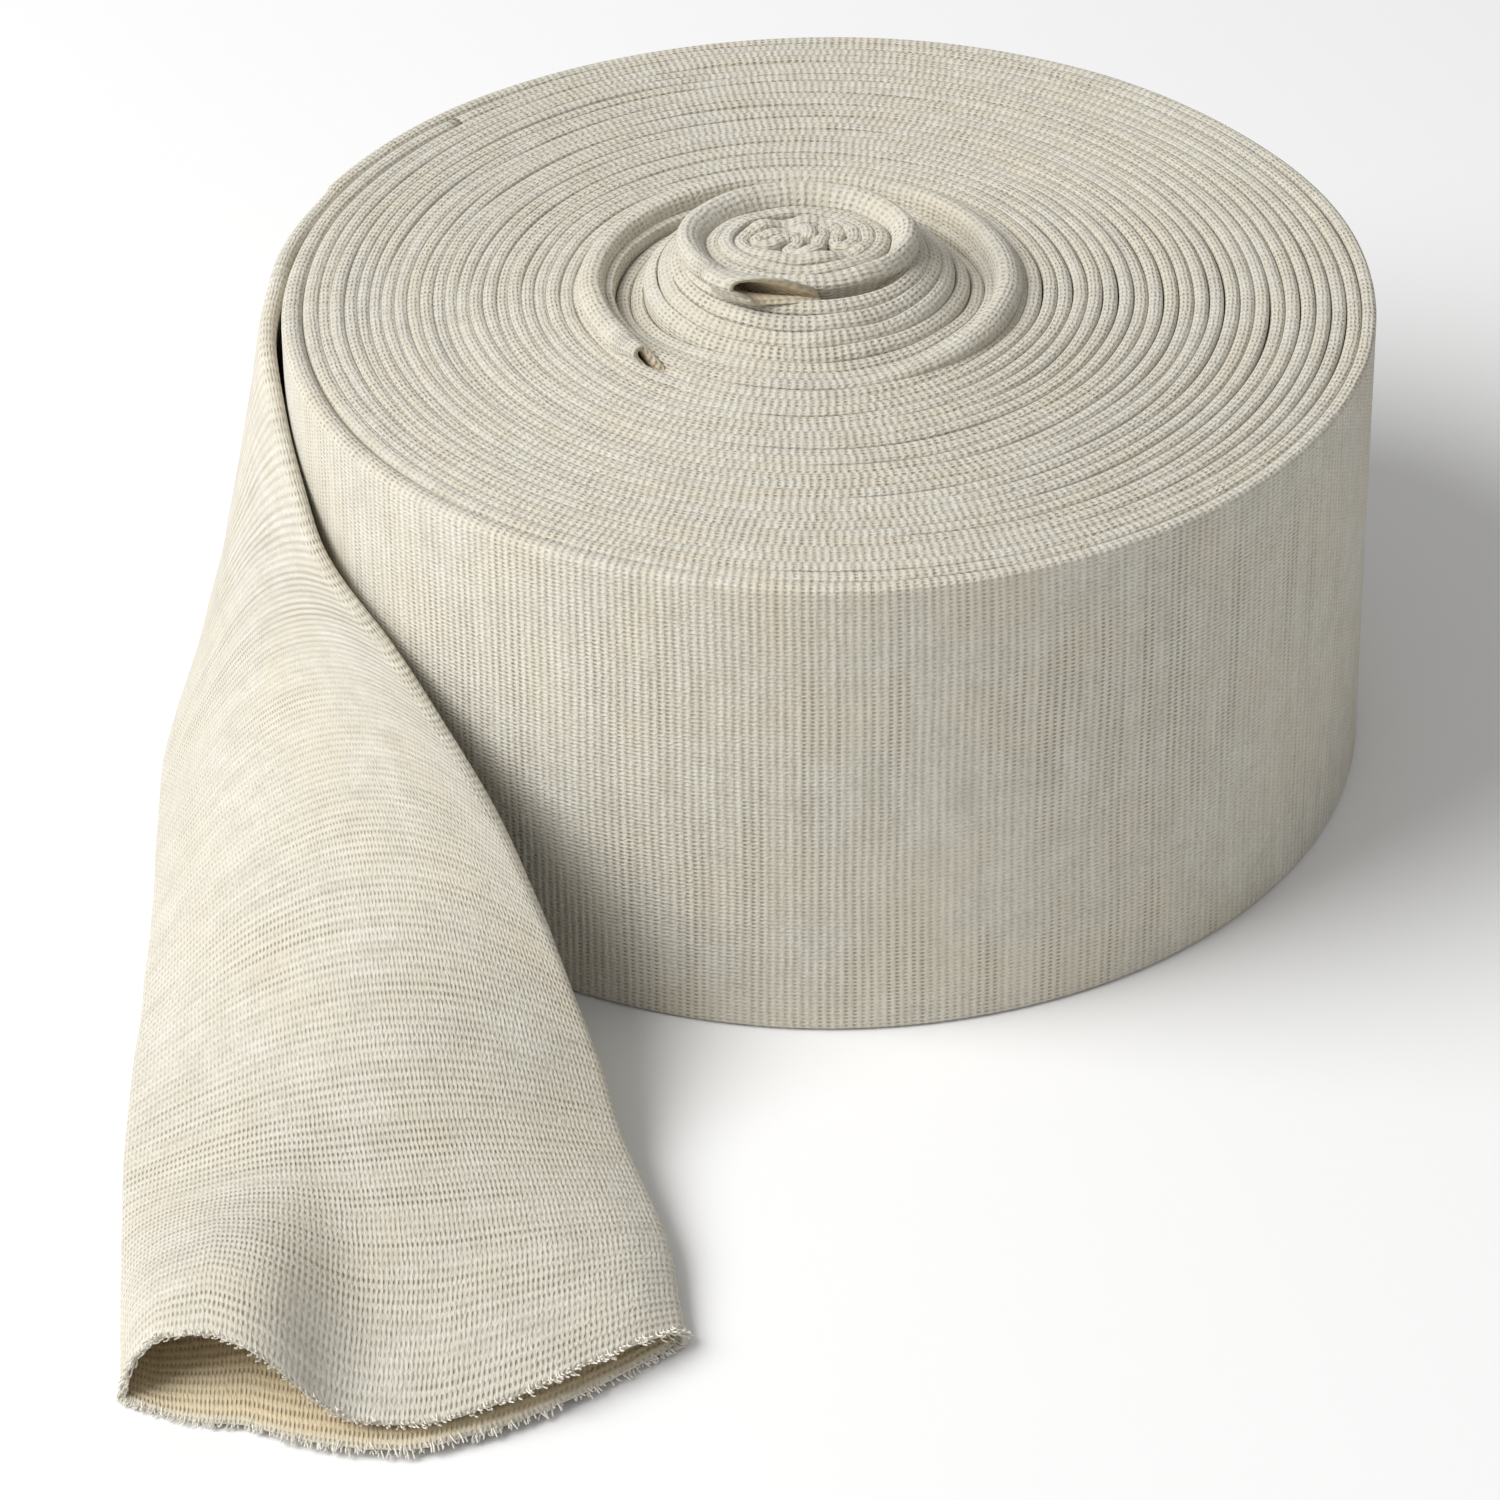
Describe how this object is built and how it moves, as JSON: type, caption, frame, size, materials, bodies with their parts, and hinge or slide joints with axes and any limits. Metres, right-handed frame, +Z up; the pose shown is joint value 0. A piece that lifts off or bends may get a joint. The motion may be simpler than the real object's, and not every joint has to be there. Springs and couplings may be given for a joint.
{
  "type": "tubular bandage",
  "caption": "Roll of cream knitted tubular bandage, wound flat and standing on its side face, with its free end pulled out and its mouth open.",
  "frame": {"origin": "where the roll's axis meets the surface it stands on", "axes": "+Z up along the roll's axis; the tape leaves the roll at its -X side and its mouth lies towards -Y"},
  "size_m": [0.1867, 0.257, 0.0845],
  "materials": {
    "knit": "matt cream cotton knit"
  },
  "bodies": {
    "root": {"core_coil": "knit", "middle_coil": "knit", "outer_coil": "knit", "free_tail": "knit"}
  },
  "joints": []
}
